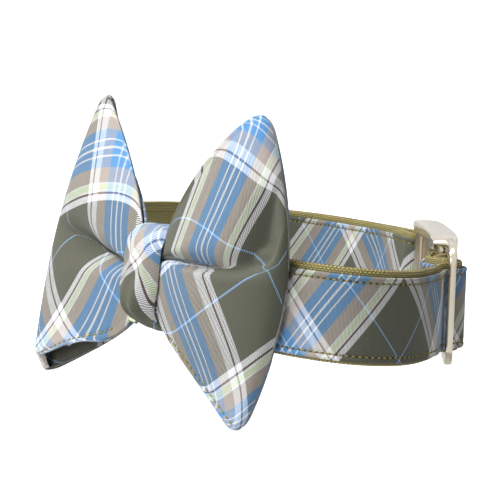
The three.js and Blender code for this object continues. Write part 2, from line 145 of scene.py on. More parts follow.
def make(name, shells, material, sharp=50):
    """One mesh object at the origin from shells, with their pattern coordinates as its UV map."""
    start, points, faces, uvs = 0, [], [], []
    for p, f, uv in shells:
        points.append(set_down(p))
        faces.append(f + start)
        uvs.append(uv)
        start += len(p)
    points, faces, uvs = (np.vstack(k) for k in (points, faces, uvs))
    mesh = bpy.data.meshes.new(name)
    mesh.vertices.add(len(points))
    mesh.vertices.foreach_set("co", points.astype(np.float32).ravel())
    mesh.loops.add(faces.size)
    mesh.loops.foreach_set("vertex_index", faces.astype(np.int32).ravel())
    mesh.polygons.add(len(faces))
    mesh.polygons.foreach_set("loop_start", np.arange(0, faces.size, 4, dtype=np.int32))
    mesh.update(calc_edges=True)
    mesh.polygons.foreach_set("use_smooth", np.ones(len(faces), bool))
    layer = mesh.uv_layers.new(name="pattern")
    layer.data.foreach_set("uv", uvs[faces.ravel()].astype(np.float32).ravel())
    mesh.set_sharp_from_angle(angle=np.radians(sharp))
    mesh.materials.append(material)
    obj = bpy.data.objects.new(name, mesh)
    bpy.context.collection.objects.link(obj)
    return obj


# the strap's inner end: where it is sewn down, how far out it runs there, and where and over what
# length it sinks to the far bar
SEWN_END, INNER_LAYER, SINKS_AT, SINKS_OVER = 286, -2.1, 236, 17
STEP = 0.75  # between two stations of the strap's route
# the wave through the slide: how far out the strap lies over the centre bar and under the end bars
# before and after it, and how far from the slide's middle each stretch of the wave starts
OVER_BAR, UNDER_BEFORE, UNDER_AFTER = 4.0, -0.95, -3.15
LEAVES_BAR, UNDER_END, RISES_AGAIN, ON_RING = 1.4, 10.3, 14.3, 22.5
# the loose end, which runs back from the near bar into the slide: how far back, and how far out
LOOSE_END = [(0.8, -5.1), (4, -5.2), (10.5, -5.45), (13.5, -5.3), (17, -3.3), (20, -1.5), (24, -0.95),
             (26.5, -1)]


def slide_wave(s):
    """How far out the strap runs near the slide: in under its end bars, out over its centre bar."""
    d = np.abs(s - SLIDE_AT)
    dip = np.where(s < SLIDE_AT, UNDER_BEFORE, UNDER_AFTER)
    near = mix(OVER_BAR, dip, smooth(LEAVES_BAR, UNDER_END, d))
    return np.where(d > RISES_AGAIN, dip * (1 - smooth(RISES_AGAIN, ON_RING, d)), near)


def round_bar(s, start):
    """Half a turn of the strap round the buckle's bar at s, from a start angle, as (s, n)."""
    radius, a = -BAR_OFFSET, start - np.pi * np.arange(25) / 24
    return together(s + radius * np.cos(a), BAR_OFFSET + radius * np.sin(a))


def strap_route():
    """Distance round the ring and offset out from it, all along the strap: sewn end, far bar, once round,
    near bar, loose end. Also gives which of its stations go once round."""
    last = ROUND + BUCKLE_NEAR
    s = np.arange(SEWN_END, BUCKLE_FAR, -STEP)
    inner = together(s, mix(INNER_LAYER, 2 * BAR_OFFSET, smooth(0, 1, (SINKS_AT - s) / SINKS_OVER)))
    far = round_bar(BUCKLE_FAR, -np.pi / 2)
    s = np.arange(BUCKLE_FAR + STEP, last, STEP)
    once = together(s, slide_wave(s - ROUND))
    near = round_bar(last, np.pi / 2)
    knots = [(last - back, out) for back, out in LOOSE_END]
    tail = spline(knots, np.arange(41) / 40 * (len(knots) - 1), False)
    return np.vstack([inner, far, once, near, tail]), slice(len(inner) + len(far), -len(near) - len(tail))


route, once_round = strap_route()
steps = np.linalg.norm(np.diff(place(route[:, 0], route[:, 1], 0), axis=0), axis=1)
route_t = np.concatenate([[0], np.cumsum(steps)])
route_dir = np.gradient(route, axis=0)
route_dir /= np.linalg.norm(route_dir, axis=1)[:, None]
STRAP_LENGTH = route_t[-1]


def strap_at(t, off, z):
    """A point t along the strap from its sewn end, off out from its middle and z up from its lower edge."""
    s, n, ds, dn = (np.interp(t, route_t, c) for c in (*route.T, *route_dir.T))
    return place(s - off * dn, n + off * ds, z)


def group(name, inputs, outputs):
    """An empty node group with named inputs (name, kind, value) and outputs (name, kind)."""
    tree = bpy.data.node_groups.new(name, "ShaderNodeTree")
    for label, kind, value in inputs:
        socket = tree.interface.new_socket(name=label, in_out="INPUT", socket_type="NodeSocket" + kind)
        if value is not None:
            socket.default_value = value
    for label, kind in outputs:
        tree.interface.new_socket(name=label, in_out="OUTPUT", socket_type="NodeSocket" + kind)
    return tree, tree.nodes.new("NodeGroupInput"), tree.nodes.new("NodeGroupOutput")


def use_group(tree, nodes):
    """Places a node group in a tree."""
    node = tree.nodes.new("ShaderNodeGroup")
    node.node_tree = nodes
    return node


def math(tree, op, a, b=None, c=None):
    """A Math node on numbers or sockets; gives its output socket."""
    node = tree.nodes.new("ShaderNodeMath")
    node.operation = op
    for k, value in enumerate((a, b, c)):
        if value is None:
            continue
        if isinstance(value, (int, float)):
            node.inputs[k].default_value = value
        else:
            tree.links.new(value, node.inputs[k])
    return node.outputs[0]


def humps(tree, value):
    """One round hump for each whole step of the value: the absolute sine of pi times it."""
    return math(tree, "ABSOLUTE", math(tree, "SINE", math(tree, "MULTIPLY", value, np.pi)))


def noise(tree, at, scale, detail=2.0, roughness=0.5):
    """Soft noise read at a place, from 0 to 1."""
    node = tree.nodes.new("ShaderNodeTexNoise")
    for socket, value in (("Scale", scale), ("Detail", detail), ("Roughness", roughness)):
        node.inputs[socket].default_value = value
    tree.links.new(at, node.inputs["Vector"])
    return node.outputs[0]


def split(tree, vector):
    """The first two numbers of a vector."""
    node = tree.nodes.new("ShaderNodeSeparateXYZ")
    tree.links.new(vector, node.inputs[0])
    return node.outputs[0], node.outputs[1]


def blend(tree, factor, a, b, mode="MIX"):
    """A Mix Color node on colours or sockets; gives its output socket."""
    node = tree.nodes.new("ShaderNodeMix")
    node.data_type, node.blend_type = "RGBA", mode
    for k, value in ((0, factor), (6, a), (7, b)):
        if isinstance(value, (int, float, tuple)):
            node.inputs[k].default_value = value
        else:
            tree.links.new(value, node.inputs[k])
    return node.outputs[2]


def shade(tree, colour, least, more, amount):
    """The colour made lighter or darker: multiplied by least, plus as much of more as the amount says."""
    grey = tree.nodes.new("ShaderNodeCombineColor")
    light = math(tree, "ADD", least, math(tree, "MULTIPLY", amount, more))
    for k in range(3):
        tree.links.new(light, grey.inputs[k])
    return blend(tree, 1.0, colour, grey.outputs[0], "MULTIPLY")


def rgb(r, g, b):
    """A dye or metal colour given in everyday 0-255 steps, as linear light."""
    c = np.array([r, g, b]) / 255
    c = np.where(c > 0.04045, ((c + 0.055) / 1.055) ** 2.4, c / 12.92)
    return (float(c[0]), float(c[1]), float(c[2]), 1.0)


def material(name, roughness, metallic=0.0, sheen=0.0, specular=0.5):
    """A material with one Principled shader; gives the material, its tree and the shader."""
    m = bpy.data.materials.new(name)
    m.use_nodes = True
    shader = m.node_tree.nodes["Principled BSDF"]
    for socket, value in (("Roughness", roughness), ("Metallic", metallic), ("Specular IOR Level", specular)):
        shader.inputs[socket].default_value = value
    if sheen:
        shader.inputs["Sheen Weight"].default_value = sheen
        shader.inputs["Sheen Roughness"].default_value = 0.5
    return m, m.node_tree, shader


def pattern_map(tree):
    """Place on the piece's own cloth, in millimetres."""
    node = tree.nodes.new("ShaderNodeUVMap")
    node.uv_map = "pattern"
    return node.outputs[0]


def bump(tree, shader, height, depth, strength=1.0):
    """Raises the shader's surface by height, depth metres for a height of one."""
    node = tree.nodes.new("ShaderNodeBump")
    node.inputs["Strength"].default_value = strength
    node.inputs["Distance"].default_value = depth
    tree.links.new(height, node.inputs["Height"])
    tree.links.new(node.outputs[0], shader.inputs["Normal"])


# woven yarns lying side by side in rows, each row stepped half a yarn from the last
tree, gin, gout = group("yarn_rows", [("Along", "Float", 0), ("Across", "Float", 0)], [("Height", "Float")])
across = gin.outputs["Across"]
step = math(tree, "MULTIPLY", math(tree, "MODULO", math(tree, "FLOOR", across), 2.0), 0.5)
pick = math(tree, "POWER", humps(tree, math(tree, "ADD", gin.outputs["Along"], step)), 0.5)
height = math(tree, "MULTIPLY", math(tree, "POWER", humps(tree, across), 0.6), pick)
tree.links.new(height, gout.inputs["Height"])
yarn_rows = tree

YARN_LONG, YARN_WIDE = 1.05, 0.62  # one yarn's stretch on the face of the weave
SELVEDGE = 1.9  # width of the corded edge
webbing_olive, tree, shader = material("webbing_olive", 0.82, sheen=0.2, specular=0.25)
pattern = pattern_map(tree)
along, across = split(tree, pattern)
weave = use_group(tree, yarn_rows)
tree.links.new(math(tree, "DIVIDE", along, YARN_LONG), weave.inputs["Along"])
tree.links.new(math(tree, "DIVIDE", across, YARN_WIDE), weave.inputs["Across"])
to_edge = math(tree, "MINIMUM", across, math(tree, "SUBTRACT", WIDTH, across))
from_cord = math(tree, "MAXIMUM", math(tree, "DIVIDE", to_edge, SELVEDGE), 0.0)
selvedge = math(tree, "SUBTRACT", 1.0, math(tree, "SMOOTH_MIN", from_cord, 1.0, 0.1))
# painted highlight and painted shade: following the weave's height, the yarns' crowns are coloured lighter
# and the gaps between them darker, most of all in the corded edges
body = blend(tree, weave.outputs["Height"], rgb(96, 90, 52), rgb(188, 178, 116))
cord = blend(tree, weave.outputs["Height"], rgb(28, 22, 9), rgb(176, 160, 96))
both = blend(tree, selvedge, body, cord)
tree.links.new(shade(tree, both, 0.82, 0.36, noise(tree, pattern, 2.2)), shader.inputs["Base Color"])
bump(tree, shader, weave.outputs["Height"], 0.00028, 0.8)


def crest(x, at, wide):
    """A bell-shaped crest: 1 at its place and falling away softly on both sides of it."""
    return np.exp(-((x - at) / wide) ** 2)


def round_over(inward, radius, least=0.0):
    """Quarter circle up from an edge: 1 from a radius inward on, and at the edge the root of least."""
    return np.sqrt(np.clip(1 - (1 - np.clip(inward / radius, 0, 1)) ** 2, least, 1))


def both_faces(face):
    """Places across one face of a strip and back across the other, and 1 or -1 for the face of each."""
    return np.concatenate([face, face[::-1]])[None], np.repeat([1.0, -1.0], len(face))[None]


PICK = 1.15  # length of one pick in the corded edge


def webbing_shell():
    """Flat strip whose two edges are round cords: a row of picks swells each cord along its length."""
    t = np.append(np.arange(0, STRAP_LENGTH, 0.3), STRAP_LENGTH)[:, None]
    lift = np.array([0, 0.1, 0.35, 0.8, 1.3, 1.7])
    z, side = both_faces(np.concatenate([lift, np.linspace(2.4, WIDTH - 2.4, 5), WIDTH - lift[::-1]]))
    edge = np.minimum(z, WIDTH - z)
    swell = 0.1 * crest(edge, 0.6, 0.45) * np.cos(2 * np.pi * (t / PICK + 0.25 * side))
    groove = 0.12 * crest(edge, 1.75, 0.3)
    off = side * ((HALF - 0.1) * round_over(edge, 0.85, 0.02) + swell - groove)
    sway = 0.09 * np.sin(2 * np.pi * t / PICK + side) * crest(edge, 0, 0.5) * np.sign(z - WIDTH / 2)
    return shell(strap_at(t, off, z + sway), together(t, z))


webbing = make("webbing", [webbing_shell()], webbing_olive, 80)
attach(webbing, "root")
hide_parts("strap_webbing")

# ------------------------------------------------------------------- ribbon
# A strip of yarn-dyed plaid cotton cut on the bias, its long edges turned under. It is
# laid along the outer face of the webbing and stitched through it along both edges.
RIBBON_LOW, RIBBON_HIGH = 0.9, 23.6
STITCH = 1.6  # from one stitch to the next
FIRST_STITCH = 2.5  # from either end of the strap
SEAM_IN = 1.62  # from the ribbon's edge to its line of stitching
SEAM_ROWS = (2.5, 21.95)  # heights of the two rows of stitches
NEEDLE_HOLE_SHADE = (0.24, 0.3)  # half the length in stitches of the painted shade round a needle hole, and half its width

# the plaid's dyes, and where each stripe of it starts, out from the middle of the blue band
DYES = dict(white=rgb(220, 221, 224), blue=rgb(88, 142, 192), taupe=rgb(166, 156, 148), brown=rgb(86, 58, 50),
            green=rgb(206, 218, 188), olive=rgb(86, 87, 75), sky=rgb(140, 180, 222))
HALF_REPEAT = 29.5
GREEN_FROM, GREEN_TO = 9.5, 11.0  # the green stripe is only in the warp
STRIPES = [(0, "white"), (0.24, "blue"), (1.85, "white"), (2.35, "blue"), (5.1, "taupe"), (9.0, "white"),
           (GREEN_FROM, "green"), (GREEN_TO, "white"), (11.6, "brown"), (12.2, "white"), (13.9, "olive"),
           (29.2, "sky")]


def stripe_group(name, stripes):
    """Node group for the yarn's dye at a place in the repeat, out from the blue band and back."""
    tree, gin, gout = group(name, [("Place", "Float", 0.0)], [("Color", "Color")])
    ramp = tree.nodes.new("ShaderNodeValToRGB")
    ramp.color_ramp.interpolation = "CONSTANT"
    for k, (start, dye) in enumerate(stripes):
        at = start / HALF_REPEAT
        stop = ramp.color_ramp.elements[k] if k < 2 else ramp.color_ramp.elements.new(at)
        stop.position, stop.color = at, DYES[dye]
    fold = math(tree, "PINGPONG", gin.outputs[0], HALF_REPEAT)
    tree.links.new(math(tree, "DIVIDE", fold, HALF_REPEAT), ramp.inputs[0])
    tree.links.new(ramp.outputs[0], gout.inputs[0])
    return tree


warp_stripe = stripe_group("warp_stripe", STRIPES)
weft_stripe = stripe_group("weft_stripe", [k for k in STRIPES if k[0] not in (GREEN_FROM, GREEN_TO)])


def soft_range(tree, value, start, end, at_start, at_end):
    """Goes softly from one number to another while the value goes from start to end."""
    node = tree.nodes.new("ShaderNodeMapRange")
    node.interpolation_type = "SMOOTHSTEP"
    tree.links.new(value, node.inputs[0])
    for k, number in enumerate((start, end, at_start, at_end)):
        node.inputs[k + 1].default_value = number
    return node.outputs[0]


# two sets of slubby striped yarns; the twill's diagonal lines show the one and the other by turns
tree, gin, gout = group("plaid_twill", [("Vector", "Vector", None), ("Twill", "Float", 0.62)],
                        [("Color", "Color"), ("Height", "Float")])
warp_place, weft_place = split(tree, gin.outputs["Vector"])
colours = []
for along, across, stripe in ((warp_place, weft_place, warp_stripe), (weft_place, warp_place, weft_stripe)):
    yarn = use_group(tree, stripe)
    tree.links.new(along, yarn.inputs[0])
    drawn_out = tree.nodes.new("ShaderNodeCombineXYZ")
    tree.links.new(math(tree, "MULTIPLY", along, 3.1), drawn_out.inputs[0])
    tree.links.new(math(tree, "MULTIPLY", across, 0.16), drawn_out.inputs[1])
    slub = noise(tree, drawn_out.outputs[0], 1.0, 3.0, 0.6)
    colours.append(shade(tree, yarn.outputs[0], 0.72, 0.56, slub))
waver = math(tree, "MULTIPLY", noise(tree, gin.outputs["Vector"], 0.9, 3.0), 0.7)
lines = math(tree, "DIVIDE", math(tree, "ADD", warp_place, weft_place), gin.outputs["Twill"])
turns = math(tree, "MULTIPLY", math(tree, "ADD", lines, waver), 2 * np.pi)
wave = math(tree, "ADD", 0.5, math(tree, "MULTIPLY", math(tree, "SINE", turns), 0.5))
woven = blend(tree, soft_range(tree, wave, 0.25, 0.75, 0.06, 0.8), *colours)
# painted shade and painted highlight: the colour is darker along the twill's troughs and lighter along its
# ridges, following the same wave that raises the bump
tree.links.new(shade(tree, woven, 0.88, 0.22, wave), gout.inputs["Color"])
ribs = math(tree, "MULTIPLY", humps(tree, math(tree, "DIVIDE", warp_place, 0.42)), 0.4)
height = math(tree, "ADD", math(tree, "MULTIPLY", wave, 0.6), ribs)
tree.links.new(height, gout.inputs["Height"])
plaid_twill = tree


def plaid_material(name, hole_shade=False):
    """Matt yarn-dyed cotton that reads its place in the plaid from the piece's pattern map. If asked, it also
    paints shade into the needle holes: the cloth is painted dark where the needle went through between two
    stitches, whose places it reads from the piece's seam attribute."""
    m, tree, shader = material(name, 0.88, sheen=0.12, specular=0.2)
    cloth = use_group(tree, plaid_twill)
    tree.links.new(pattern_map(tree), cloth.inputs["Vector"])
    colour = cloth.outputs["Color"]
    if hole_shade:
        seam = tree.nodes.new("ShaderNodeAttribute")
        seam.attribute_name = "seam"
        stitch, inward = split(tree, seam.outputs["Vector"])
        from_hole = math(tree, "SUBTRACT", 0.5, math(tree, "PINGPONG", stitch, 0.5))
        along = math(tree, "DIVIDE", from_hole, NEEDLE_HOLE_SHADE[0])
        across = math(tree, "DIVIDE", math(tree, "SUBTRACT", inward, SEAM_IN), NEEDLE_HOLE_SHADE[1])
        squares = [math(tree, "MULTIPLY", k, k) for k in (along, across)]
        far = math(tree, "SQRT", math(tree, "ADD", *squares))
        # painted shade: a dark spot at each needle hole between two stitches
        colour = blend(tree, soft_range(tree, far, 0.6, 1.3, 0.85, 0.0), colour, rgb(46, 44, 32))
    tree.links.new(colour, shader.inputs["Base Color"])
    bump(tree, shader, cloth.outputs["Height"], 0.00012, 0.6)
    return m


ribbon_plaid = plaid_material("ribbon_plaid", hole_shade=True)
thread_olive, tree, shader = material("thread_olive", 0.7, sheen=0.1, specular=0.3)
ply = noise(tree, tree.nodes.new("ShaderNodeTexCoord").outputs["Object"], 1800)
tree.links.new(blend(tree, ply, rgb(92, 84, 26), rgb(176, 164, 74)), shader.inputs["Base Color"])
bump(tree, shader, ply, 0.00008, 0.5)

# how the plaid lies on the ribbon: the angles of its two yarn directions to the ribbon's length, how
# much the cloth is pulled in, the reading of each at the knot, and its jump where the strip is pieced
WARP_ANGLE, WEFT_ANGLE = np.radians(58), np.radians(52)
PULLED_IN = 0.815
WARP_AT_KNOT, WEFT_AT_KNOT = -45.1, -42.3
PIECED = np.array([4.4, -7.2])
KNOT_AT = float(np.interp(ROUND, route[once_round, 0], route_t[once_round]))  # along the strap


def bias(s, z):
    """Plaid coordinates of a point on the ribbon, s along it from the knot and z up: the two yarn directions
    slope against each other across its length."""
    warp = (s * np.sin(WARP_ANGLE) - z * np.cos(WARP_ANGLE) + WARP_AT_KNOT) / PULLED_IN
    weft = (s * np.sin(WEFT_ANGLE) + z * np.cos(WEFT_ANGLE) + WEFT_AT_KNOT) / PULLED_IN
    return together(warp, weft)


def ribbon_shell():
    """Thin flat tube with round folds at both edges, dimpled along two lines of stitching. The strip is
    pieced where it turns round the buckle's far bar, so its plaid starts afresh there. Gives the shell and
    each point's place on the seam: stitches along it, and millimetres in from the edge."""
    t = np.arange(0.8, STRAP_LENGTH - 0.8, 0.6)[:, None]
    lift = np.array([0, 0.08, 0.3, 0.7, 1.1, 1.45, 1.7, 2.0, 2.5, 3.2])
    face = np.concatenate([RIBBON_LOW + lift, np.linspace(5.2, 19.3, 6), RIBBON_HIGH - lift[::-1]])
    z, side = both_faces(face)
    edge = np.minimum(z - RIBBON_LOW, RIBBON_HIGH - z)
    round_off = round_over(edge, 0.5)
    beat = np.cos(2 * np.pi * t / STITCH)
    seam = crest(edge, 1.65, 0.42) * (0.75 + 0.25 * beat)
    puff = 0.1 * crest(edge, 0.7, 0.5) * (1 + 0.5 * beat)
    pull = 0.08 * crest(edge, 2.6, 1.2) * np.cos(2 * np.pi * (t / STITCH + 0.3 * z))
    off = np.where(side > 0, 1.7 + 0.42 * round_off - 0.3 * seam + puff + pull, 1.65 - 0.4 * round_off)
    pieced = (t < SEWN_END - BUCKLE_FAR)[..., None] * PIECED
    skin = shell(strap_at(t, off, z), bias(t - KNOT_AT, z) + pieced)
    return skin, together((t - FIRST_STITCH) / STITCH, edge, 0)


skin, seam_place = ribbon_shell()
ribbon = make("ribbon", [skin], ribbon_plaid, 80)
seam_map = ribbon.data.attributes.new("seam", "FLOAT_VECTOR", "POINT")
seam_map.data.foreach_set("vector", seam_place.astype(np.float32).ravel())
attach(ribbon, "root")
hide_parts("strap_face")


def stitches(at, stations, length=1.1, thick=0.23, rise=0.16):
    """Short bowed threads, one at each station: at(t, off, w) lays a thread's own length, height and width
    on its surface."""
    u = np.linspace(-1, 1, 6)[:, None]
    a = np.linspace(0, 2 * np.pi, 6, endpoint=False)[None]
    taper = np.sqrt(np.clip(1 - u ** 4, 0.05, 1))
    off = rise * (1 - u ** 2) + thick * taper * np.sin(a)
    w = thick * taper * np.cos(a)
    return shell(at(stations[:, None, None] + length / 2 * u, off, w))


ON_RIBBON, ON_WEBBING, ON_END = 1.78, -0.86, 2.12  # how far out from the strap's middle the threads lie
TACKS = (2.6, 3.6)  # two rows of close stitches across the sewn end


def seam_row(z, face, stations):
    """One row of stitches along the strap, bowed out from the face that it lies on."""
    return stitches(lambda t, off, w: strap_at(t, face + np.sign(face) * off, z + w), stations)


def tack_row(t):
    """One row of stitches across the strap."""
    heights = np.arange(4.4, 20.6, 0.5)
    return stitches(lambda z, off, w: strap_at(t + w, ON_END + off, z), heights, 0.9, 0.16, 0.1)


rows = np.arange(FIRST_STITCH, STRAP_LENGTH - FIRST_STITCH, STITCH)
outer_rows = [seam_row(z, ON_RIBBON, rows) for z in SEAM_ROWS]
inner_rows = [seam_row(z, ON_WEBBING, rows + 0.5 * STITCH) for z in SEAM_ROWS]
tacks = [tack_row(t) for t in TACKS]
seams = make("strap_stitching", outer_rows + inner_rows + tacks, thread_olive, 180)
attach(seams, "root")

# -------------------------------------------------------------------- slide
# A flat tri-glide cast in one piece, tumbled smooth and nickel plated: an oblong frame
# with one bar across its middle. The strap comes up under one end, over the bar and down.
SLIDE_SIZE, SLIDE_CORNER, SLIDE_HALF = (28, 34), 5, 1.1  # outside, its corners, half its thickness
OPENING_SIZE, OPENING_CORNER, OPENING_DROP = (20.8, 26.2), 1.2, 1.1
CENTRE_BAR, BAR_WIDE, BAR_DEEP = (-14.5, 12.5), 1.5, 0.98  # its ends, half its width and half its depth
SLIDE_OUT, SLIDE_UP, SLIDE_TURN = 0.4, 13.8, np.radians(5.5)  # where its middle is on the strap


def cast_metal(name, roughness, dull, bright, scale):
    """Bare cast metal, rubbed bright and dull in patches; also gives the rub."""
    m, tree, shader = material(name, roughness, metallic=1.0)
    rub = noise(tree, tree.nodes.new("ShaderNodeTexCoord").outputs["Object"], scale, 6)
    tree.links.new(blend(tree, rub, dull, bright), shader.inputs["Base Color"])
    tree.links.new(math(tree, "ADD", 0.1, math(tree, "MULTIPLY", rub, 0.2)), shader.inputs["Roughness"])
    return m, tree, shader, rub


cast_nickel, tree, shader, rub = cast_metal("cast_nickel", 0.3, rgb(212, 200, 180), rgb(236, 226, 208), 90)
grain = noise(tree, tree.nodes.new("ShaderNodeTexCoord").outputs["Object"], 420, 4)
bump(tree, shader, grain, 0.00006, 0.5)


def soft_square(a, power):
    """Cosine and sine of an angle, both raised to a low power, which pushes a circle out into its square."""
    return (np.sign(k) * np.abs(k) ** power for k in (np.cos(a), np.sin(a)))


def loop_round(size, r, k):
    """Rounded rectangle about the origin at k places: a circle whose quarters are moved apart."""
    a = 2 * np.pi * (k + 0.5) / len(k)
    c, s = np.cos(a), np.sin(a)
    return together(np.sign(c) * (size[0] / 2 - r) + r * c, np.sign(s) * (size[1] / 2 - r) + r * s)


def slide_shells():
    """Frame: a soft oblong section between two rounded rectangles. Bar: the same section, straight."""
    k = np.arange(96)
    out, hole = loop_round(SLIDE_SIZE, SLIDE_CORNER, k), loop_round(OPENING_SIZE, OPENING_CORNER, k)
    hole[:, 1] -= OPENING_DROP
    c, s = soft_square(np.linspace(0, 2 * np.pi, 20, endpoint=False), 0.45)
    mid, half = (out + hole) / 2, (out - hole) / 2
    frame_x, frame_y = (mid[:, k, None] + half[:, k, None] * c for k in (0, 1))
    y = np.linspace(*CENTRE_BAR, 12)[:, None]
    return (together(frame_x, frame_y, SLIDE_HALF + SLIDE_HALF * s),
            together(BAR_WIDE * c, y, SLIDE_HALF + BAR_DEEP * s))


def on_slide(p):
    """Slide's own millimetres (length, height, depth) turned and carried to its place on the strap."""
    at = lambda s, n, z: place(SLIDE_AT + s, SLIDE_OUT + n, SLIDE_UP + z)
    middle = at(0, 0, 0)
    ways = (at(NUDGE, 0, 0) - at(-NUDGE, 0, 0), at(0, 0, 1) - middle, at(0, 1, 0) - middle)
    tangent, up, normal = (v / np.linalg.norm(v) for v in ways)
    x = tangent * np.cos(SLIDE_TURN) - normal * np.sin(SLIDE_TURN)
    n = tangent * np.sin(SLIDE_TURN) + normal * np.cos(SLIDE_TURN)
    return middle + p[..., :1] * x + p[..., 1:2] * up + p[..., 2:] * n


rim, bar = slide_shells()
slide = make("tri_glide", [shell(on_slide(rim), ring=True), shell(on_slide(bar))], cast_nickel, 60)
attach(slide, "root")
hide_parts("slide")

# ------------------------------------------------------------------- buckle
# A one-piece curved metal buckle, cast and polished: a crowned block over the closure
# with a fixed round bar at each end, where the strap turns back on itself.
BAR_RADIUS = 1.3
BUCKLE_LOW, BUCKLE_HIGH = -4.3, 29.9  # its lower and upper edge, up the strap
BUCKLE_MID, BUCKLE_HALF = -1.15, 4.15  # the middle of its depth, out from the ring, and half of it
CROWN, WALL = 1.6, 1.4  # swell of the outer face, and thickness of the cast wall
CLEAR = 0.35  # between the strap's edge and a rail
BODY_IN = 6.6  # from a bar's middle to the end of the block
cast_pale, tree, shader, rub = cast_metal("cast_pale", 0.28, rgb(218, 206, 188), rgb(238, 230, 214), 60)
bump(tree, shader, rub, 0.00005, 0.4)


def block(s_from, s_to, z_from, z_to, corner, rows, round_end=True):
    """Soft oblong section (depth by height) carried along the ring, less high round its end corners."""
    s = np.concatenate([s_from + np.linspace(0, corner, 10) ** 2 / corner,
                        np.linspace(s_from + corner, s_to - corner, rows)[1:-1],
                        s_to - np.linspace(corner, 0, 10) ** 2 / corner])[:, None]
    e = np.clip(np.minimum(s - s_from, s_to - s), 0, corner)
    mid, hz = (z_from + z_to) / 2, (z_to - z_from) / 2
    r = min(corner, hz - 0.2) if round_end else 0
    h = hz - r + np.sqrt(np.clip(r ** 2 - (r - e * r / corner) ** 2, 0.02, None)) if r else hz
    c, k = soft_square(np.linspace(0, 2 * np.pi, 44, endpoint=False)[None] + 0.03, 0.3)
    depth = BUCKLE_HALF * np.minimum(1, 0.75 + 0.25 * e / corner)
    return shell(place(s, BUCKLE_MID + depth * c, mid + h * k))


def hollow_body(s_from, s_to):
    """The block over the closure, cast hollow and open towards the neck: a channel whose lining is its own
    outside drawn in by the wall from the open mouth, closed at each end by a wall as thick."""
    s = np.linspace(s_from + 0.3, s_to - 0.3, 60)[:, None]
    c, k = soft_square(np.linspace(-0.8 * np.pi, 0.8 * np.pi, 45)[None], 0.3)
    mid, hz = (BUCKLE_LOW + BUCKLE_HIGH) / 2, (BUCKLE_HIGH - BUCKLE_LOW) / 2
    swell = CROWN * smooth(6, 16, np.minimum(s - s_from, s_to - s))
    n = BUCKLE_MID + BUCKLE_HALF * c + swell * np.clip(c, 0, 1) * (1 - 0.85 * k ** 2)
    mouth = n[:, :1]
    lining_n, lining_z = mouth + (n - mouth) * (1 - WALL / (2 * BUCKLE_HALF)), mid + k * (hz - WALL)
    n = np.concatenate([n, lining_n[:, ::-1]], 1)
    z = np.concatenate([mid + k * hz, lining_z[:, ::-1]], 1)
    ends = [block(at, at + WALL, BUCKLE_LOW, BUCKLE_HIGH, 0.5, 5, False) for at in (s_from, s_to - WALL)]
    return [shell(place(s, n, z))] + ends


def bar_shell(s_at):
    """Plain round bar standing across the strap."""
    a = np.linspace(0, 2 * np.pi, 20, endpoint=False)[None]
    z = np.linspace(-2, 27.4, 8)[:, None]
    return shell(place(s_at + BAR_RADIUS * np.cos(a), BAR_OFFSET + BAR_RADIUS * np.sin(a), z))


rails = [block(BUCKLE_NEAR - BAR_RADIUS, BUCKLE_FAR + BAR_RADIUS, low, high, 5, 30)
         for low, high in ((BUCKLE_LOW, -CLEAR), (WIDTH + CLEAR, BUCKLE_HIGH))]
body = hollow_body(BUCKLE_NEAR + BODY_IN, BUCKLE_FAR - BODY_IN)
buckle = make("cast_buckle", rails + body + [bar_shell(BUCKLE_NEAR), bar_shell(BUCKLE_FAR)], cast_pale, 60)
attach(buckle, "root")
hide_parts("buckle")

# ---------------------------------------------------------------- bow lobes
# Two soft loops of the same plaid cotton, lined and stiffened, pinched in the middle by
# the knot. Each is a front and a back panel that meet in a round fold at the outside.
CLOTH = 0.9      # thickness of the lined cloth
PINCH_X, PINCH_Y, PINCH_Z, PINCH_HALF = 7.8, -6.3, 13.6, 11.5  # where a loop goes into the knot
REACH, FOLD_RADIUS = 42, 1.55  # from the knot to the outer fold, and how round that is
HALF_HEIGHT = (20, 47)  # half a panel's cut height, at the knot and at the fold
# top, mid, bottom: places of the outer fold. puff, back: how full the panels are; front_top to
# back_bottom: how much less so towards an edge. crease: where the front crease runs, at five steps from
# knot to fold, how wide it opens above and below, and where it fades. shift, rise, drop, sink: how far
# the edges move back, up and down. mouth: how far the lower end gapes. edge: the fold's radius at its top.
LOBES = dict(
    right=dict(side=1, top=(44, -1.3, 64.4), mid=(54, 3.2, 21), bottom=(44, -0.2, -23.6), puff=10, back=4,
               front_top=0.56, front_bottom=0.92, back_top=0.7, back_bottom=0.6, shift_top=0,
               shift_bottom=1.6, crease=(0.42, 0.165, 0.07, 0.035, 0.05),
               crease_above=(0.08, 0.2, 0.26, 0.26, 0.3), crease_below=0.07, crease_fade=(0.44, 0.88),
               dimple=7.6, rise=(0, 0, 0, 0, 0), drop=1, sink=1, mouth=0, edge=1.55),
    left=dict(side=-1, top=(-43, -4.2, 64.0), mid=(-52.6, -10.5, 20), bottom=(-47.8, -17, -24.2), puff=6.3,
              back=5, front_top=0.83, front_bottom=0.4, back_top=0.98, back_bottom=0.1, shift_top=1.2,
              shift_bottom=0, crease=(0.02, 0, 0.01, 0.05, 0.08),
              crease_above=(0.1, 0.24, 0.34, 0.45, 0.5), crease_below=0.3, crease_fade=(0.5, 1.0),
              dimple=0, rise=(-3, -1.6, 2, 3.4, 4.8), drop=-0.8, sink=5.5, mouth=0.8, edge=0.75))
behind = place(np.arange(-75, 76, 2.5), HALF + 1.3, 0)  # the ribbon's face, which the loops stay off


def through(values, t):
    """Smooth curve through five even values of t from 0 to 1: each value weighted by a bump that is one at
    its own place and nought at the others."""
    t = 4 * np.asarray(t, float)
    weight = lambda k: np.prod([(t - j) / (k - j) for j in range(5) if j != k], axis=0)
    return sum(weight(k) * values[k] for k in range(5))


def into_dimple(q, v):
    """How far past the middle of the upper hollow a place is, along q, and how hollow it is at its height."""
    return q - mix(-0.46, -0.23, 2 * v), smooth(-0.04, 0.14, v) * (1 - smooth(0.3, 0.62, v))


